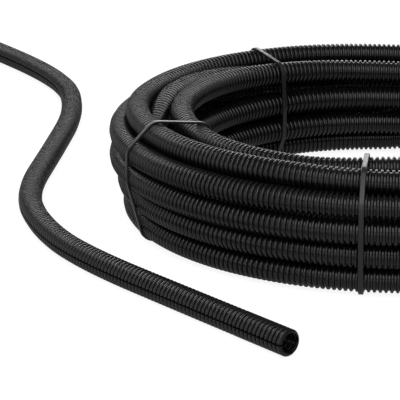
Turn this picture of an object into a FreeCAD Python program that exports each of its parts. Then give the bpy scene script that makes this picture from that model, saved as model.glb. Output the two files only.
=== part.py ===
import FreeCAD, Part
import math
import os

os.makedirs("parts", exist_ok=True)

# Driving dimensions, in millimetres and degrees.
# The conduit: a thin corrugated plastic tube, slit along its length.
CONDUIT_OD = 13.0
CONDUIT_BORE = 10.0
WALL = 0.35
RIB_PITCH = 2.77
CREST_FLAT = 1.60
VALLEY_FLAT = 0.55
SLIT_WIDTH = 0.6
SLIT_BELOW_SIDE = 7.0
OPEN_END_RIBS = 6

# The coil: turns wound round an eye, each at its own place in the section.
EYE_RADIUS = 101.4
WEB_HALF = 1.6
SCALLOP_FACET_ANGLE = 45.0
FREE_END_AZIMUTH = 0.0
BOTTOM_TURN_START = 30.0

# The ties that hold the turns together.
TIE_WIDTH = 2.5
TIE_THICKNESS = 1.2
TIE_SEAT = 0.15
TIE_HEAD_WIDTH = 4.8
TIE_HEAD_LENGTH = 5.4
TIE_HEAD_HEIGHT = 3.8
TIE_HEAD_CHAMFER = 0.6
TIE_STUB = 2.2

TUBE_R = CONDUIT_OD / 2
COIL_BASE = TIE_THICKNESS + TIE_SEAT

# Each turn of the section, in conduit diameters: outwards from the wall of the
# eye, and upwards from the bottom of the coil.
TURNS = {
    "bottom_inner": (1.00, 0.50),
    "bottom_middle": (1.82, 1.07),
    "bottom_outer": (2.65, 0.50),
    "outer_second": (2.88, 1.53),
    "outer_third": (3.20, 2.49),
    "outer_fourth": (3.20, 3.49),
    "top_outer": (2.47, 4.13),
    "top_middle": (1.60, 3.70),
    "top_inner": (0.66, 4.02),
    "inner_third": (0.50, 2.57),
    "inner_second": (0.50, 1.45),
}
# The top inner turn is held up by its neighbours, with an open gap under it.
TURN_OVER_GAP = "top_inner"
GAP_FLOOR = (1.30, 3.25)

# The turns that a strap pulled tight round the section touches.
STRAPPED_TURNS = ["bottom_inner", "bottom_outer", "outer_third", "outer_fourth",
                  "top_outer", "top_inner", "inner_third", "inner_second"]

# Each tie's azimuth from +X, and the wall of the coil that its head lies on.
TIE_AZIMUTHS = {
    "tie_front": 260.0,
    "tie_left": 202.5,
    "tie_back": 121.0,
    "tie_right_back": 50.0,
    "tie_right": 338.0,
}
TIE_HEAD_WALLS = {
    "tie_front": "inner",
    "tie_left": "inner",
    "tie_back": "outer",
    "tie_right_back": "outer",
    "tie_right": "outer",
}

# The free end's route over the floor, from the coil round behind it to the
# open end in front. Its first point is where the bottom outer turn lets go.
FREE_END_ROUTE = [
    (137.0, 72.0),
    (141.5, 190.0),
    (139.0, 330.0),
    (128.0, 462.0),
    (72.0, 552.0),
    (-30.0, 584.0),
    (-150.0, 590.0),
    (-256.0, 574.0),
    (-318.0, 512.0),
    (-312.0, 434.0),
    (-262.6, 375.7),
    (-189.1, 258.8),
    (-178.9, 180.3),
    (-186.9, 96.7),
    (-196.8, 10.2),
    (-185.3, -46.2),
    (-161.5, -96.4),
    (-102.4, -168.2),
    (-61.4, -217.3),
]


def section_place(out, up):
    return (EYE_RADIUS + out * CONDUIT_OD, COIL_BASE + up * CONDUIT_OD)


def turn_centre(name):
    return section_place(*TURNS[name])


def in_section(x, z):
    return FreeCAD.Vector(x, 0, z)


def unit(a, b):
    length = math.hypot(b[0] - a[0], b[1] - a[1])
    return ((b[0] - a[0]) / length, (b[1] - a[1]) / length)


# The coil's section: the outside of every turn, in short facets, and between
# neighbours a short web that closes the groove where they touch.
def scalloped_face(names):
    centres = [turn_centre(name) for name in names]
    half_reach = math.asin(WEB_HALF / TUBE_R)
    corners = []
    for i, centre in enumerate(centres):
        before = unit(centres[i - 1], centre)
        after = unit(centre, centres[(i + 1) % len(centres)])
        first = math.atan2(-before[1], -before[0]) + half_reach
        sweep = (math.atan2(after[1], after[0]) - half_reach - first) % (2 * math.pi)
        facets = max(2, round(math.degrees(sweep) / SCALLOP_FACET_ANGLE))
        for k in range(facets + 1):
            angle = first + sweep * k / facets
            corners.append(in_section(centre[0] + TUBE_R * math.cos(angle),
                                      centre[1] + TUBE_R * math.sin(angle)))
        if names[i] == TURN_OVER_GAP:
            corners.append(in_section(*section_place(*GAP_FLOOR)))
    return Part.Face(Part.makePolygon(corners + corners[:1]))


def turned(face, start, end):
    origin = FreeCAD.Vector(0, 0, 0)
    up = FreeCAD.Vector(0, 0, 1)
    face = face.copy()
    face.rotate(origin, up, start)
    return face.revolve(origin, up, end - start)


# The coil: one turned solid with its eye. Its bottom outer turn stops where
# the free end leaves it, so a short sector of the section is without it.
def conduit_coil():
    every_turn = list(TURNS)
    without_bottom_outer = [name for name in every_turn if name != "bottom_outer"]
    wound = turned(scalloped_face(every_turn), BOTTOM_TURN_START, FREE_END_AZIMUTH + 360.0)
    gap = turned(scalloped_face(without_bottom_outer), FREE_END_AZIMUTH, BOTTOM_TURN_START)
    return wound.fuse(gap).removeSplitter()


# A closed outline that lies at one distance outside the strapped turns.
def taut_outline(offset):
    centres = [turn_centre(name) for name in STRAPPED_TURNS]
    reach = TUBE_R + offset
    edges = []
    for i, centre in enumerate(centres):
        before = unit(centres[i - 1], centre)
        after = unit(centre, centres[(i + 1) % len(centres)])
        middle = (before[1] + after[1], -before[0] - after[0])
        middle_length = math.hypot(*middle)
        arrive = in_section(centre[0] + before[1] * reach, centre[1] - before[0] * reach)
        crown = in_section(centre[0] + middle[0] / middle_length * reach,
                           centre[1] + middle[1] / middle_length * reach)
        leave = in_section(centre[0] + after[1] * reach, centre[1] - after[0] * reach)
        if edges:
            edges.append(Part.LineSegment(edges[-1].lastVertex().Point, arrive).toShape())
        else:
            first_arrival = arrive
        edges.append(Part.Arc(arrive, crown, leave).toShape())
    edges.append(Part.LineSegment(leave, first_arrival).toShape())
    return Part.Wire(edges)


# The tie's head: a small chamfered block on one wall of the coil, with the cut
# end of the strap standing out of its slot.
def tie_head(side):
    if side == "inner":
        lower, upper, outward = "inner_second", "inner_third", -1
    else:
        lower, upper, outward = "outer_third", "outer_fourth", 1
    wall = turn_centre(lower)[0] + outward * (TUBE_R + TIE_SEAT)
    middle = (turn_centre(lower)[1] + turn_centre(upper)[1]) / 2
    block = Part.makeBox(TIE_HEAD_HEIGHT, TIE_HEAD_WIDTH, TIE_HEAD_LENGTH)
    block = block.makeChamfer(TIE_HEAD_CHAMFER, block.Edges)
    near = wall if outward > 0 else wall - TIE_HEAD_HEIGHT
    block.translate(FreeCAD.Vector(near, -TIE_HEAD_WIDTH / 2, middle - TIE_HEAD_LENGTH / 2))
    stub = Part.makeBox(TIE_STUB + TIE_HEAD_CHAMFER, TIE_WIDTH, TIE_THICKNESS)
    head_top = wall + outward * TIE_HEAD_HEIGHT
    stub_near = head_top - TIE_HEAD_CHAMFER if outward > 0 else head_top - TIE_STUB
    stub.translate(FreeCAD.Vector(stub_near, -TIE_WIDTH / 2, middle - TIE_THICKNESS / 2))
    return block.fuse(stub)


# A tie: a flat strap pulled tight round the section of the coil.
def tie(azimuth, side):
    outer = Part.Face(taut_outline(TIE_SEAT + TIE_THICKNESS))
    inner = Part.Face(taut_outline(TIE_SEAT))
    band = outer.cut(inner).extrude(FreeCAD.Vector(0, TIE_WIDTH, 0))
    band.translate(FreeCAD.Vector(0, -TIE_WIDTH / 2, 0))
    whole = band.fuse(tie_head(side)).removeSplitter()
    whole.rotate(FreeCAD.Vector(0, 0, 0), FreeCAD.Vector(0, 0, 1), azimuth)
    return whole


# Straight runs joined by tangent arcs. Each arc is as large as its two runs
# allow. The smallest radius is printed.
def rounded_path(points):
    edges = []
    radii = []
    start = points[0]
    for i in range(1, len(points) - 1):
        back = points[i - 1] - points[i]
        ahead = points[i + 1] - points[i]
        cut = 0.45 * min(back.Length, ahead.Length)
        half_turn = (math.pi - back.getAngle(ahead)) / 2
        radii.append(cut / math.tan(half_turn))
        back.normalize()
        ahead.normalize()
        arrive = points[i] + back * cut
        leave = points[i] + ahead * cut
        inward = back + ahead
        inward.normalize()
        depth = radii[-1] / math.cos(half_turn) - radii[-1]
        edges.append(Part.LineSegment(start, arrive).toShape())
        edges.append(Part.Arc(arrive, points[i] + inward * depth, leave).toShape())
        start = leave
    edges.append(Part.LineSegment(start, points[-1]).toShape())
    print("arc radii, mm:", [round(radius) for radius in radii])
    return Part.Wire(edges)


# The corrugated wall of the open end, turned about the X axis: square crests
# and valleys outside, the same wave one wall thickness further in.
def corrugated_stretch(length):
    valley_r = CONDUIT_BORE / 2 + WALL
    crest_inner_r = TUBE_R - WALL
    flank = (RIB_PITCH - CREST_FLAT - VALLEY_FLAT) / 2
    outside = []
    inside = []
    for i in range(OPEN_END_RIBS):
        crest = length - (OPEN_END_RIBS - i) * RIB_PITCH + VALLEY_FLAT + flank
        outside += [(crest - flank, valley_r), (crest, TUBE_R),
                    (crest + CREST_FLAT, TUBE_R), (crest + CREST_FLAT + flank, valley_r)]
        inside += [(crest - flank, CONDUIT_BORE / 2), (crest, crest_inner_r),
                   (crest + CREST_FLAT, crest_inner_r),
                   (crest + CREST_FLAT + flank, CONDUIT_BORE / 2)]
    start = length - OPEN_END_RIBS * RIB_PITCH
    profile = [(start, CONDUIT_BORE / 2), (start, valley_r)]
    profile += outside
    profile += reversed(inside)
    corners = [FreeCAD.Vector(x, r, 0) for x, r in profile]
    face = Part.Face(Part.makePolygon(corners + corners[:1]))
    return face.revolve(FreeCAD.Vector(0, 0, 0), FreeCAD.Vector(1, 0, 0), 360)


# The free end: a tube over the floor, plain where it only lies, and truly
# corrugated, hollow and slit over the last ribs before its open end.
def conduit_free_end():
    start_radius, start_height = turn_centre("bottom_outer")
    start = FreeCAD.Vector(start_radius, 0, start_height)
    start = FreeCAD.Rotation(FreeCAD.Vector(0, 0, 1), FREE_END_AZIMUTH).multVec(start)
    points = [start] + [FreeCAD.Vector(x, y, TUBE_R) for x, y in FREE_END_ROUTE]
    heading = points[-1] - points[-2]
    heading.normalize()
    open_length = OPEN_END_RIBS * RIB_PITCH
    open_end = points[-1]
    points[-1] = open_end - heading * open_length
    path = rounded_path(points)
    tangent = points[1] - points[0]
    section = Part.Wire(Part.Circle(points[0], tangent, TUBE_R).toShape())
    tube = path.makePipeShell([section], True, True)
    expected = math.pi * TUBE_R ** 2 * path.Length
    print("tube volume over section times length:", round(tube.Volume / expected, 4))
    print("free end length, mm:", round(path.Length + open_length))
    wall = corrugated_stretch(open_length)
    slit = Part.makeBox(open_length, TUBE_R * 2, SLIT_WIDTH)
    slit.translate(FreeCAD.Vector(0, 0, -SLIT_WIDTH / 2))
    slit.rotate(FreeCAD.Vector(0, 0, 0), FreeCAD.Vector(1, 0, 0), 180 + SLIT_BELOW_SIDE)
    wall = wall.cut(slit)
    angle = math.degrees(math.atan2(heading.y, heading.x))
    wall.rotate(FreeCAD.Vector(0, 0, 0), FreeCAD.Vector(0, 0, 1), angle)
    wall.translate(points[-1])
    return tube.fuse(wall).removeSplitter()


def export(name, shape):
    solids = shape.Solids
    print(name, "solids", len(solids), "valid", shape.isValid(), "volume", round(shape.Volume))
    shape.exportStep("parts/" + name + ".step")


export("conduit_coil", conduit_coil())
export("conduit_free_end", conduit_free_end())
for tie_name, tie_azimuth in TIE_AZIMUTHS.items():
    export(tie_name, tie(tie_azimuth, TIE_HEAD_WALLS[tie_name]))
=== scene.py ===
import math
import bpy
from mathutils import Matrix, Vector


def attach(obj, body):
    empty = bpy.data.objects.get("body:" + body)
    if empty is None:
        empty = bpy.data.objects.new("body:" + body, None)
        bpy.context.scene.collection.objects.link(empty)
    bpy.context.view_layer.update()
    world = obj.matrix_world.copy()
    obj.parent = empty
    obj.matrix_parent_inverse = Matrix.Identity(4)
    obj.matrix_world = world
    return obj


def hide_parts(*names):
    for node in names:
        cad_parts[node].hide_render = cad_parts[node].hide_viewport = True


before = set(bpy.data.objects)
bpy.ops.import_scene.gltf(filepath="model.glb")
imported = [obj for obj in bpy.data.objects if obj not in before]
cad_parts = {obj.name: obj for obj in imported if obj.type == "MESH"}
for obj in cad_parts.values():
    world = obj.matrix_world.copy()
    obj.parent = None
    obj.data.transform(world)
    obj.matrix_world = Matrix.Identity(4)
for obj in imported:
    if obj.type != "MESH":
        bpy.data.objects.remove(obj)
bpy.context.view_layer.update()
for stale in ("Cube", "Light", "Camera"):
    if stale in bpy.data.objects:
        bpy.data.objects.remove(bpy.data.objects[stale])


# The conduit's wall: black polypropylene, blown into ribs and slit along its
# whole length. One rib lies along X, from one valley to the next, with up along
# Z, and every stretch of conduit is a row of its copies.
outside_radius = 0.0065
shoulder_radius = 0.00602
valley_radius = 0.00535
valley_length = 0.00076
flank_length = 0.00026
shoulder_length = 0.00033
crest_length = 0.00083
# Each ring of a rib: how far along from the one before, and its radius.
rib_rings = [
    (valley_length, valley_radius),
    (flank_length, shoulder_radius),
    (shoulder_length, outside_radius),
    (crest_length, outside_radius),
    (shoulder_length, shoulder_radius),
    (flank_length, valley_radius),
]
rib_corners = 16
# The slit's middle line, seen from the conduit's axis, and its two lips.
slit_below_right = math.radians(68)
slit_way = Vector((0, -math.cos(slit_below_right), -math.sin(slit_below_right)))
slit_half_width = 0.0004
slit_depth = 0.0020


def on_slit_line(co):
    across = Vector((0, co.y, co.z))
    reach = across.dot(slit_way)
    return reach > 0 and (across - slit_way * reach).length < slit_half_width / 2


def select_vertices(piece, test):
    bpy.ops.object.mode_set(mode="OBJECT")
    mesh = piece.data
    for element in list(mesh.vertices) + list(mesh.edges) + list(mesh.polygons):
        element.select = False
    for vertex in mesh.vertices:
        vertex.select = test(vertex.co)
    bpy.ops.object.mode_set(mode="EDIT")
    bpy.ops.mesh.select_mode(type="VERT")


def shape_rib(name, corners):
    bpy.ops.object.select_all(action="DESELECT")
    bpy.ops.mesh.primitive_circle_add(vertices=corners, radius=valley_radius,
                                      rotation=(0, math.pi / 2, 0))
    shaped = bpy.context.active_object
    shaped.name = name
    bpy.ops.object.transform_apply(location=False, rotation=True, scale=False)
    first_corner = shaped.data.vertices[0].co
    turn_to_slit = (math.atan2(slit_way.z, slit_way.y)
                    - math.atan2(first_corner.z, first_corner.y))
    shaped.data.transform(Matrix.Rotation(turn_to_slit, 4, "X"))
    # The corner on the slit's line becomes two lips, and what lies between them
    # is pushed in.
    select_vertices(shaped, on_slit_line)
    bpy.ops.mesh.bevel(offset=slit_half_width, segments=2, affect="VERTICES")
    select_vertices(shaped, on_slit_line)
    bpy.ops.transform.translate(value=slit_way * -slit_depth)
    bpy.ops.mesh.select_all(action="SELECT")
    along = 0
    radius = valley_radius
    for ring_length, ring_radius in rib_rings:
        along += ring_length
        grow = ring_radius / radius
        radius = ring_radius
        bpy.ops.mesh.extrude_region_move(TRANSFORM_OT_translate={"value": (ring_length, 0, 0)})
        bpy.ops.transform.resize(value=(1, grow, grow), center_override=(along, 0, 0))
    bpy.ops.mesh.select_all(action="SELECT")
    bpy.ops.mesh.normals_make_consistent(inside=False)
    bpy.ops.object.mode_set(mode="OBJECT")
    return shaped


rib = shape_rib("rib", rib_corners)


class Value:
    """One value in a finish, ready for sums."""

    def __init__(self, finish, socket):
        self.finish = finish
        self.socket = socket

    def worked(self, operation, first, second):
        return self.finish.node("ShaderNodeMath", {"operation": operation}, {0: first, 1: second})

    def __add__(self, other):
        return self.worked("ADD", self, other)

    def __radd__(self, other):
        return self.worked("ADD", other, self)

    def __mul__(self, other):
        return self.worked("MULTIPLY", self, other)

    def __rmul__(self, other):
        return self.worked("MULTIPLY", other, self)


class Finish:
    """A material, or the surroundings, and the nodes that it is made of."""

    def __init__(self, owner):
        owner.use_nodes = True
        self.owner = owner
        self.nodes = owner.node_tree.nodes
        self.links = owner.node_tree.links
        self.nodes.clear()

    def node(self, kind, settings=None, sockets=None, output=0):
        made = self.nodes.new(kind)
        for name, value in (settings or {}).items():
            if name == "stops":
                ramp = made.color_ramp.elements
                while len(ramp) < len(value):
                    ramp.new(0.5)
                for element, (position, colour) in zip(ramp, value):
                    element.position = position
                    element.color = colour
            else:
                setattr(made, name, value)
        for name, value in (sockets or {}).items():
            if isinstance(value, Value):
                self.links.new(value.socket, made.inputs[name])
            else:
                made.inputs[name].default_value = value
        return Value(self, made.outputs[output]) if made.outputs else None


# The conduit's finish: satin black, a little greyer and duller in soft patches
# where it has been handled, with the fine grain of blown plastic.
conduit_black = (0.004, 0.004, 0.0043, 1)
conduit_handled = (0.008, 0.008, 0.0083, 1)

conduit_finish = Finish(bpy.data.materials.new("black_conduit_plastic"))
conduit_place = conduit_finish.node("ShaderNodeTexCoord", output="Object")
patches = conduit_finish.node(
    "ShaderNodeTexNoise", {},
    {"Vector": conduit_place, "Scale": 38.0, "Detail": 4.0, "Roughness": 0.6})
grain = conduit_finish.node(
    "ShaderNodeTexNoise", {}, {"Vector": conduit_place, "Scale": 2600.0, "Detail": 2.0})
plastic_colour = conduit_finish.node(
    "ShaderNodeValToRGB", {"stops": [(0.35, conduit_black), (0.7, conduit_handled)]},
    {"Fac": patches})
plastic_grain = conduit_finish.node(
    "ShaderNodeBump", {}, {"Height": grain, "Strength": 0.03, "Distance": 0.0002})
plastic = conduit_finish.node(
    "ShaderNodeBsdfPrincipled", {},
    {"Base Color": plastic_colour, "Roughness": 0.20 + patches * 0.10 + grain * 0.04,
     "Normal": plastic_grain, "IOR": 1.49})
conduit_finish.node("ShaderNodeOutputMaterial", {}, {"Surface": plastic})
rib.data.materials.append(conduit_finish.owner)


# The coil: twelve turns of the conduit, wound upwards and outwards round an open
# eye and pulled together by ties. Between ties each turn lies where the pull of
# the others leaves it, so its place changes on the way round.
eye_radius = 0.1014
coil_lift = 0.00135
conduit_across = 2 * outside_radius
rib_pitch = sum(ring_length for ring_length, ring_radius in rib_rings)
# Each turn's places: the azimuth, then how far out from the eye's wall and how
# high up, in conduit diameters.
turns = {
    "core": [(0, 1.90, 2.28)],
    "bottom_middle": [(0, 1.82, 1.07)],
    "bottom_inner": [(0, 1.00, 0.50)],
    "inner_second": [(40, 0.50, 1.42), (100, 0.50, 1.38), (260, 0.50, 1.42)],
    "inner_third": [(60, 0.50, 2.52), (110, 0.50, 2.55), (260, 0.50, 2.58)],
    "top_inner": [(30, 0.68, 3.72), (85, 0.68, 3.70), (107, 0.66, 3.82), (121, 0.62, 3.92),
                  (135, 0.53, 4.04), (150, 0.50, 4.16), (165, 0.58, 4.20), (180, 0.72, 4.19),
                  (196, 0.72, 4.08), (209, 0.70, 3.97), (228, 0.70, 3.95), (245, 0.70, 3.98),
                  (253, 0.70, 4.06), (262, 0.70, 4.19), (275, 0.70, 4.20), (320, 0.70, 4.05)],
    "top_middle": [(30, 1.62, 3.38), (100, 1.62, 3.39), (121, 1.59, 3.62), (135, 1.54, 3.88),
                   (150, 1.53, 4.05), (162, 1.57, 4.10), (170, 1.62, 3.98), (175, 1.66, 3.78),
                   (181, 1.82, 3.48), (188, 2.08, 3.30), (205, 2.05, 3.26), (300, 1.90, 3.32)],
    "top_outer": [(40, 2.47, 4.04), (88, 2.47, 4.07), (105, 2.47, 4.12), (140, 2.50, 4.15),
                  (155, 2.55, 4.14), (170, 2.58, 4.15), (182, 2.52, 4.23), (192, 2.48, 4.25),
                  (224, 2.47, 4.21), (242, 2.47, 4.25), (262, 2.47, 4.20), (330, 2.47, 4.15)],
    "outer_fourth": [(90, 3.20, 3.36), (180, 3.20, 3.51), (270, 3.20, 3.48)],
    "outer_third": [(90, 3.20, 2.42), (180, 3.20, 2.51), (270, 3.20, 2.50)],
    "outer_second": [(90, 2.88, 1.50), (180, 2.88, 1.53)],
    "bottom_outer": [(0, 2.65, 0.50)],
}
turn_names = list(turns)
# The azimuth where the conduit crosses to each turn from the one before.
crossings = {
    "bottom_middle": 84.0, "bottom_inner": 70.9, "inner_second": 61.7, "inner_third": 59.7,
    "top_inner": 55.9, "top_middle": 49.1, "top_outer": 47.4, "outer_fourth": 43.5,
    "outer_third": 36.7, "outer_second": 31.5, "bottom_outer": 30.0,
}
crossing_width = 30.0
# The conduit's inner end lies at this azimuth of the hidden turn.
inner_end = 100
# How far the conduit has rolled on a turn, which brings its slit into view.
rolled = {"inner_third": 44.0, "outer_third": -25.0, "outer_second": -16.0}
# A polygon's spline lies inside it, so its points stand out by this much.
points_a_turn = 36
point_angle = 360 / points_a_turn
stand_out = 2 / (1 + math.cos(math.radians(point_angle)))
# Corners closer than this are one, and flatter edges than this are smooth.
same_place = 0.00002
smooth_conduit = math.radians(62)


def turn_place(name, azimuth):
    stops = turns[name]
    count = len(stops)
    if count == 1:
        return Vector(stops[0][1:])
    spans = [(stops[(i + 1) % count][0] - stops[i][0]) % 360 for i in range(count)]
    i = max(range(count), key=lambda k: stops[k][0] if stops[k][0] <= azimuth % 360
            else stops[k][0] - 360)
    before, here, there, after = (Vector(stops[(i + k) % count][1:]) for k in (-1, 0, 1, 2))
    # Between two places the turn follows a smooth curve that passes through both.
    span = spans[i]
    leave = (there - before) / (spans[i - 1] + span) * span
    arrive = (after - here) / (span + spans[(i + 1) % count]) * span
    t = ((azimuth - stops[i][0]) % 360) / span
    return (here * (2 * t ** 3 - 3 * t ** 2 + 1) + leave * (t ** 3 - 2 * t ** 2 + t)
            + there * (3 * t ** 2 - 2 * t ** 3) + arrive * (t ** 3 - t ** 2))


def share_crossed(index, azimuth):
    if index == 0:
        return 1.0
    done = (azimuth - crossings[turn_names[index]]) / crossing_width + 0.5
    done = min(1.0, max(0.0, done))
    return done * done * (3 - 2 * done)


def wound_point(index, azimuth):
    done = share_crossed(index, azimuth)
    lies = (turn_place(turn_names[index], azimuth) * done
            + turn_place(turn_names[index - 1], azimuth) * (1 - done))
    radius = (eye_radius + lies.x * conduit_across) * stand_out
    angle = math.radians(azimuth)
    return Vector((radius * math.cos(angle), radius * math.sin(angle),
                   coil_lift + lies.y * conduit_across))


def wound_roll(index, azimuth):
    done = share_crossed(index, azimuth)
    return (rolled.get(turn_names[index], 0.0) * done
            + rolled.get(turn_names[index - 1], 0.0) * (1 - done))


def lay_curve(name, route, tilts):
    line = bpy.data.curves.new(name, "CURVE")
    line.dimensions = "3D"
    line.twist_mode = "Z_UP"
    line.resolution_u = 24
    spline = line.splines.new("NURBS")
    spline.points.add(len(route) - 1)
    for point, place, tilt in zip(spline.points, route, tilts):
        point.co = (*place, 1)
        point.tilt = math.radians(tilt)
    spline.order_u = 3
    spline.use_endpoint_u = True
    laid = bpy.data.objects.new(name, line)
    bpy.context.scene.collection.objects.link(laid)
    return laid


def centreline(curve):
    bpy.context.view_layer.update()
    mesh = bpy.data.meshes.new_from_object(
        curve.evaluated_get(bpy.context.evaluated_depsgraph_get()))
    points = [vertex.co.copy() for vertex in mesh.vertices]
    bpy.data.meshes.remove(mesh)
    return points


def length_of(points):
    return sum((there - here).length for here, there in zip(points, points[1:]))


def make_active(piece):
    bpy.ops.object.select_all(action="DESELECT")
    piece.select_set(True)
    bpy.context.view_layer.objects.active = piece


def row_of_ribs(name, unit, ribs, pitch):
    row = unit.copy()
    row.data = unit.data.copy()
    row.name = name
    row.data.name = name
    bpy.context.scene.collection.objects.link(row)
    make_active(row)
    array = row.modifiers.new("ribs", "ARRAY")
    array.fit_type = "FIXED_COUNT"
    array.count = ribs
    array.use_relative_offset = False
    array.use_constant_offset = True
    array.constant_offset_displace = (pitch, 0, 0)
    array.use_merge_vertices = True
    array.merge_threshold = same_place
    bpy.ops.object.modifier_apply(modifier="ribs")
    return row


def far_end(row):
    return max(vertex.co.x for vertex in row.data.vertices)


def close_ends(row):
    for end in (0, far_end(row)):
        select_vertices(row, lambda co: abs(co.x - end) < same_place)
        bpy.ops.mesh.extrude_region_move(TRANSFORM_OT_translate={"value": (0, 0, 0)})
        bpy.ops.mesh.merge(type="CENTER")
        bpy.ops.object.mode_set(mode="OBJECT")


def bend_along(row, curve):
    make_active(row)
    bend = row.modifiers.new("bend", "CURVE")
    bend.object = curve
    bend.deform_axis = "POS_X"
    bpy.ops.object.modifier_apply(modifier="bend")
    bpy.ops.object.shade_smooth_by_angle(angle=smooth_conduit)


for index, turn_name in enumerate(turn_names):
    azimuths = [point_angle * (k + 0.5) for k in range(points_a_turn)]
    if index == 0:
        azimuths = [azimuth for azimuth in azimuths if azimuth > inner_end]
        before = wound_point(index, azimuths[0] - point_angle)
    else:
        before = wound_point(index - 1, 360 - point_angle / 2)
    if turn_name == turn_names[-1]:
        after = wound_point(index, 360 + point_angle / 2)
    else:
        after = wound_point(index + 1, point_angle / 2)
    points = [wound_point(index, azimuth) for azimuth in azimuths]
    route = [(before + points[0]) / 2] + points + [(points[-1] + after) / 2]
    rolls = [wound_roll(index, azimuth) for azimuth in azimuths]
    curve = lay_curve("coil_line_" + turn_name, route, rolls[:1] + rolls + rolls[-1:])
    length = length_of(centreline(curve))
    ribs = round(length / rib_pitch)
    turn = row_of_ribs("coil_turn_" + turn_name, rib, ribs, length / ribs)
    close_ends(turn)
    bend_along(turn, curve)
    bpy.data.objects.remove(curve)
    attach(turn, "root")
    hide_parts("conduit_coil")


# The ties: five black nylon cable ties pulled tight round the coil's section.
# Each is a flat strap that touches only the outermost turns, with its locking
# head on a wall of the coil and the cut end of the strap standing out of it.
tie_width = 0.0025
tie_thickness = 0.0012
tie_seat = 0.00015
strap_chamfer = 0.00025
bend_facet = 12
head_width, head_length, head_height = 0.0048, 0.0054, 0.0038
head_chamfer = 0.0006
stub_length = 0.0022
stub_chamfer = 0.0002
smooth_tie = math.radians(35)
strapped = ["bottom_inner", "bottom_outer", "outer_third", "outer_fourth",
            "top_outer", "top_inner", "inner_third", "inner_second"]
# The two turns that the head lies on, on the inner wall and the outer one.
walls = {-1: ("inner_second", "inner_third"), 1: ("outer_third", "outer_fourth")}
# Each tie: its azimuth, the side of the coil's wall that its head lies on, and
# how far its strap is turned from the straight way across the turns.
ties = {
    "tie_front": (260.0, -1, 2.6),
    "tie_left": (202.5, -1, 0.0),
    "tie_back": (121.0, 1, -3.0),
    "tie_right_back": (50.0, 1, 1.0),
    "tie_right": (338.0, 1, -1.0),
}
# The strap is turned about an upright line, this far in from the wall's turns.
turning_depth = 0.022
nylon_black = (0.014, 0.014, 0.015, 1)

tie_finish = Finish(bpy.data.materials.new("black_nylon"))
tie_place = tie_finish.node("ShaderNodeTexCoord", output="Object")
sheen = tie_finish.node(
    "ShaderNodeTexNoise", {}, {"Vector": tie_place, "Scale": 420.0, "Detail": 3.0})
nylon_bump = tie_finish.node(
    "ShaderNodeBump", {}, {"Height": sheen, "Strength": 0.05, "Distance": 0.0003})
nylon = tie_finish.node(
    "ShaderNodeBsdfPrincipled", {},
    {"Base Color": nylon_black, "Roughness": 0.30 + sheen * 0.08, "Normal": nylon_bump,
     "IOR": 1.53})
tie_finish.node("ShaderNodeOutputMaterial", {}, {"Surface": nylon})


def next_round(values):
    return values[1:] + values[:1]


def strap_round(name, centres):
    runs = [there - here for here, there in zip(centres, next_round(centres))]
    facings = [Vector((run.z, 0, -run.x)).normalized() for run in runs]
    bpy.ops.object.select_all(action="DESELECT")
    bpy.ops.mesh.primitive_plane_add(size=1)
    strap = bpy.context.active_object
    strap.name = name
    bpy.ops.object.mode_set(mode="EDIT")
    bpy.ops.transform.resize(value=(tie_width, tie_thickness, 1))
    bpy.ops.mesh.delete(type="ONLY_FACE")
    bpy.ops.mesh.select_all(action="SELECT")
    bpy.ops.mesh.bevel(offset=strap_chamfer, segments=1, affect="VERTICES")
    bpy.ops.object.mode_set(mode="OBJECT")
    # The section stands across the strap's way: its width along Y, its
    # thickness along the first run's facing.
    section_place = centres[0] + facings[0] * (outside_radius + tie_seat + tie_thickness / 2)
    for vertex in strap.data.vertices:
        vertex.co = section_place + Vector((0, vertex.co.x, 0)) + facings[0] * vertex.co.y
    bpy.ops.object.mode_set(mode="EDIT")
    bpy.ops.mesh.select_all(action="SELECT")
    for run, facing, facing_next, corner in zip(runs, facings, next_round(facings),
                                                next_round(centres)):
        bend = facing.angle(facing_next)
        facets = max(2, round(math.degrees(bend) / bend_facet))
        bpy.ops.mesh.extrude_region_move(TRANSFORM_OT_translate={"value": run})
        bpy.ops.mesh.spin(steps=facets, angle=bend, center=corner, axis=(0, 1, 0))
    bpy.ops.mesh.select_all(action="SELECT")
    bpy.ops.mesh.remove_doubles(threshold=same_place)
    bpy.ops.mesh.normals_make_consistent(inside=False)
    bpy.ops.object.mode_set(mode="OBJECT")
    return strap


def tie_block(name, size, middle, chamfer):
    bpy.ops.object.select_all(action="DESELECT")
    bpy.ops.mesh.primitive_cube_add(size=1)
    block = bpy.context.active_object
    block.name = name
    bpy.ops.object.mode_set(mode="EDIT")
    bpy.ops.transform.resize(value=size)
    bpy.ops.mesh.bevel(offset=chamfer, segments=2, affect="EDGES")
    bpy.ops.transform.translate(value=middle)
    bpy.ops.object.mode_set(mode="OBJECT")
    return block


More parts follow.
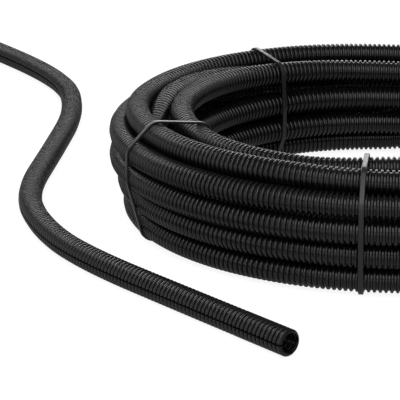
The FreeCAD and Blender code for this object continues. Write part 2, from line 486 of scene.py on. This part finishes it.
for tie_name, (azimuth, side, turned) in ties.items():
    lying = [turn_place(name, azimuth) for name in strapped]
    centres = [Vector((eye_radius + lies.x * conduit_across, 0,
                       coil_lift + lies.y * conduit_across)) for lies in lying]
    tie = strap_round(tie_name + "_strap", centres)
    low, high = (centres[strapped.index(name)] for name in walls[side])
    wall_line = (low.x + high.x) / 2
    wall_place = Vector((wall_line + side * (outside_radius + tie_seat), 0,
                         (low.z + high.z) / 2))
    head = tie_block(tie_name + "_head", (head_height, head_width, head_length),
                     wall_place + Vector((side * head_height / 2, 0, 0)), head_chamfer)
    stub = tie_block(tie_name + "_stub", (stub_length * 2, tie_width, tie_thickness),
                     wall_place + Vector((side * head_height, 0, 0)), stub_chamfer)
    make_active(tie)
    head.select_set(True)
    stub.select_set(True)
    bpy.ops.object.join()
    bpy.ops.object.mode_set(mode="EDIT")
    bpy.ops.mesh.select_all(action="SELECT")
    bpy.ops.transform.rotate(value=-math.radians(turned), orient_axis="Z",
                             center_override=(wall_line - side * turning_depth, 0, 0))
    bpy.ops.transform.rotate(value=-math.radians(azimuth), orient_axis="Z",
                             center_override=(0, 0, 0))
    bpy.ops.mesh.normals_make_consistent(inside=False)
    bpy.ops.object.mode_set(mode="OBJECT")
    bpy.ops.object.shade_smooth_by_angle(angle=smooth_tie)
    tie.data.materials.append(tie_finish.owner)
    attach(tie, "root")
    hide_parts(tie_name)


# The free end: the same conduit where it leaves the coil, loose on the floor.
# It comes round behind the coil, lies in an S beside it and ends in a clean cut,
# open into its ribbed bore and slit like the rest.
wall_thickness = 0.00035
mouth_ribs = 12
mouth_corners = 32
mouth_lip = 0.0005
free_route = [
    (0.13585, 0.0, 0.00785),
    (0.1370, 0.0720, outside_radius),
    (0.1415, 0.1900, outside_radius),
    (0.1390, 0.3300, outside_radius),
    (0.1280, 0.4620, outside_radius),
    (0.0720, 0.5520, outside_radius),
    (-0.0300, 0.5840, outside_radius),
    (-0.1500, 0.5900, outside_radius),
    (-0.2560, 0.5740, outside_radius),
    (-0.3180, 0.5120, outside_radius),
    (-0.3120, 0.4340, outside_radius),
    (-0.2626, 0.3757, outside_radius),
    (-0.1891, 0.2588, outside_radius),
    (-0.1789, 0.1803, outside_radius),
    (-0.1869, 0.0967, outside_radius),
    (-0.1968, 0.0102, outside_radius),
    (-0.1853, -0.0462, outside_radius),
    (-0.1615, -0.0964, outside_radius),
    (-0.1024, -0.1682, outside_radius),
    (-0.0614, -0.2173, outside_radius),
]
# How far the slit has turned, at each point, from where it lies in the coil.
free_turning = [0, -6, -14, -24, -34, -44, -54, -62, -68, -73, -76, -76, -75,
                -74, -73, -72, -71, -71, -71, -70]

free_curve = lay_curve("free_end_line", free_route, free_turning)
free_path = centreline(free_curve)
free_length = length_of(free_path)
free_ribs = round(free_length / rib_pitch)
free_pitch = free_length / free_ribs
free_run = row_of_ribs("conduit_free_run", rib, free_ribs - mouth_ribs, free_pitch)
run_far = far_end(free_run)
close_ends(free_run)

# The mouth: its ribs are rounder, and only here is the wall a real one. What
# the slit's lips leave between them is cut out.
mouth_rib = shape_rib("mouth_rib", mouth_corners)
mouth_rib.data.materials.append(conduit_finish.owner)
mouth = row_of_ribs("conduit_mouth", mouth_rib, mouth_ribs, free_pitch)
select_vertices(mouth, on_slit_line)
bpy.ops.mesh.delete(type="VERT")
mouth_far = far_end(mouth)
select_vertices(mouth, lambda co: co.x > mouth_far - same_place)
bpy.ops.mesh.extrude_region_move(TRANSFORM_OT_translate={"value": (mouth_lip, 0, 0)})
bpy.ops.object.mode_set(mode="OBJECT")
make_active(mouth)
shell = mouth.modifiers.new("wall", "SOLIDIFY")
shell.thickness = wall_thickness
shell.offset = -1
shell.use_even_offset = True
bpy.ops.object.modifier_apply(modifier="wall")
for vertex in mouth.data.vertices:
    vertex.co.x += run_far
make_active(free_run)
mouth.select_set(True)
bpy.ops.object.join()
free_end = bpy.context.active_object
free_end.name = "conduit_loose_end"
bend_along(free_end, free_curve)
for pattern in (free_curve, rib, mouth_rib):
    bpy.data.objects.remove(pattern)
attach(free_end, "root")
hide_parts("conduit_free_end")


# The floor: a plain sheet of white paper under the coil, with no edge in view.
# It keeps the soft shadow of the conduit, and the conduit mirrors it faintly.
floor_across = 12
floor_drop = 0.0002
white = (1, 1, 1, 1)
paper_grey = (0.30, 0.30, 0.30, 1)
paper_mirrored = 0.30

bpy.ops.object.select_all(action="DESELECT")
bpy.ops.mesh.primitive_plane_add(size=floor_across, location=(0, 0, -floor_drop))
floor = bpy.context.active_object
floor.name = "floor"


def share_of_white(finish, mirrored_share):
    seen = finish.node("ShaderNodeLightPath", output="Is Camera Ray")
    mirrored = finish.node("ShaderNodeLightPath", output="Is Glossy Ray")
    through = finish.node("ShaderNodeLightPath", output="Is Transmission Ray")
    return seen + (mirrored + through) * mirrored_share


floor_finish = Finish(bpy.data.materials.new("pale_floor"))
paper = floor_finish.node("ShaderNodeBsdfDiffuse", {}, {"Color": paper_grey})
glow = floor_finish.node("ShaderNodeEmission", {}, {"Color": white, "Strength": 0.9})
lit = floor_finish.node("ShaderNodeAddShader", {}, {0: paper, 1: glow})
floor_look = floor_finish.node(
    "ShaderNodeMixShader", {},
    {0: share_of_white(floor_finish, paper_mirrored), 1: paper, 2: lit})
floor_finish.node("ShaderNodeOutputMaterial", {}, {"Surface": floor_look})
floor.data.materials.append(floor_finish.owner)


# The studio: white behind the coil and dim all round it, with a broad softbox
# above the front, lower ones in front and at the left, and one behind.
studio_dim = 0.14
studio_white = 1.0
studio_mirrored = 0.07
# Each softbox: its place, what it points at, its width and height, and its power.
softboxes = {
    "top_light": ((-0.1, -1.0, 1.3), (-0.1, -0.1, 0), (1.8, 1.5), 16.0),
    "front_light": ((-0.1, -2.2, 0.35), (-0.1, 0, 0.35), (3.0, 0.9), 8.0),
    "left_light": ((-1.8, -0.1, 0.35), (-0.15, -0.1, 0.05), (1.8, 0.7), 3.2),
    "back_light": ((-0.1, 2.2, 0.7), (0, 0, 0), (3.0, 0.6), 22.0),
}

studio = Finish(bpy.data.worlds.new("studio"))
dim_side = studio.node("ShaderNodeBackground", {}, {"Color": white, "Strength": studio_dim})
white_side = studio.node("ShaderNodeBackground", {}, {"Color": white, "Strength": studio_white})
studio_look = studio.node(
    "ShaderNodeMixShader", {},
    {0: share_of_white(studio, studio_mirrored), 1: dim_side, 2: white_side})
studio.node("ShaderNodeOutputWorld", {}, {"Surface": studio_look})
bpy.context.scene.world = studio.owner

for light_name, (place, aim, (width, height), power) in softboxes.items():
    lamp = bpy.data.lights.new(light_name, "AREA")
    lamp.shape = "RECTANGLE"
    lamp.size = width
    lamp.size_y = height
    lamp.energy = power
    holder = bpy.data.objects.new(light_name, lamp)
    bpy.context.scene.collection.objects.link(holder)
    holder.location = place
    holder.rotation_euler = (Vector(aim) - Vector(place)).to_track_quat("-Z", "Y").to_euler()


# The camera: in front of the coil and a little above it, with a long lens.
camera_place = (-0.10147, -1.14595, 0.36444)
camera_tilt = math.radians(72.62)
lens_length = 199.35
film_width = 36

camera = bpy.data.objects.new("camera", bpy.data.cameras.new("camera"))
bpy.context.scene.collection.objects.link(camera)
camera.location = camera_place
camera.rotation_euler = (camera_tilt, 0, 0)
camera.data.lens = lens_length
camera.data.sensor_width = film_width
bpy.context.scene.camera = camera
bpy.context.scene.view_settings.view_transform = "Standard"
